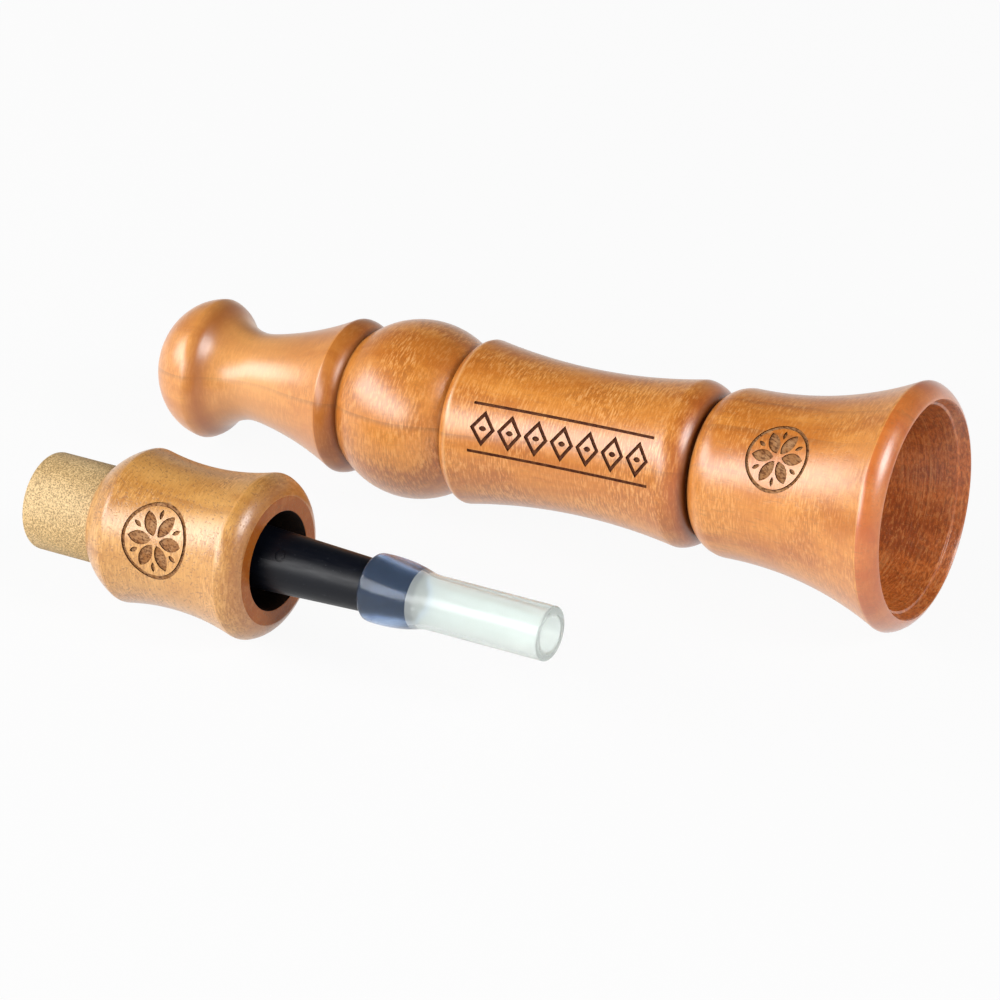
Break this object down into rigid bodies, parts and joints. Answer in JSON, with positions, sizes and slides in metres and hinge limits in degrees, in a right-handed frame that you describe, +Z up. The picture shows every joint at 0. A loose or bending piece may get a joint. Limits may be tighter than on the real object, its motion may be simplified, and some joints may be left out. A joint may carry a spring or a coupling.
{
  "type": "predator call",
  "caption": "Turned wooden predator call with a domed mouthpiece, ball and pull-off flared bell, and a loose voice head with a black reed tube and soft tuning sleeve.",
  "frame": {"origin": "on the table, under the middle of the box round the call and its voice head", "axes": "+X from the knob towards the bell's mouth, +Y from the voice head towards the call, +Z up from the table"},
  "size_m": [0.1461, 0.0892, 0.0418],
  "materials": {
    "cherry_wood": "oiled, satin",
    "pale_wood": "oiled, satin; bare on the tenon",
    "black_plastic": "moulded, satin",
    "board_plastic": "moulded, matt",
    "reed_brass": "rolled strip",
    "cork": "cut cork, matt",
    "milky_silicone": "translucent, satin"
  },
  "bodies": {
    "body": {"call_body": "cherry_wood"},
    "bell": {"bell": "cherry_wood"},
    "bell_voice": {"bell_reed_tube": "black_plastic", "bell_tone_board": "board_plastic", "bell_reed_wedge": "cork"},
    "bell_tongue": {"bell_reed": "reed_brass"},
    "voice_head": {"voice_holder": "pale_wood"},
    "voice": {"voice_reed_tube": "black_plastic", "voice_tone_board": "board_plastic", "voice_reed_wedge": "cork"},
    "voice_tongue": {"voice_reed": "reed_brass"},
    "sleeve": {"tuning_sleeve": "milky_silicone"}
  },
  "joints": [
    {"name": "bell_pull", "type": "slide", "parent": "body", "child": "bell", "axis": [0.9982, 0, 0.0598], "range_m": [0, 0.03]},
    {"name": "bell_voice_pull", "type": "slide", "parent": "bell", "child": "bell_voice", "axis": [0.9982, 0, 0.0598], "range_m": [0, 0.05]},
    {"name": "bell_reed_flex", "type": "hinge", "parent": "bell_voice", "child": "bell_tongue", "pos_m": [0.04013, 0.02363, 0.01919], "axis": [0, -1, 0], "range_deg": [-2, 2.5], "stiffness_Nm_per_rad": 0.001},
    {"name": "voice_lift", "type": "slide", "parent": "body", "child": "voice_head", "axis": [0, 0, 1], "range_m": [0, 0.06]},
    {"name": "voice_pull", "type": "slide", "parent": "voice_head", "child": "voice", "axis": [0.9985, -0.0384, 0.0393], "range_m": [0, 0.04]},
    {"name": "voice_reed_flex", "type": "hinge", "parent": "voice", "child": "voice_tongue", "pos_m": [-0.03904, -0.0299, 0.0133], "axis": [-0.0384, -0.9993, 0], "range_deg": [-2, 2.5], "stiffness_Nm_per_rad": 0.001},
    {"name": "sleeve_pull", "type": "slide", "parent": "voice", "child": "sleeve", "axis": [0.9985, -0.0384, 0.0393], "range_m": [0, 0.01]}
  ]
}
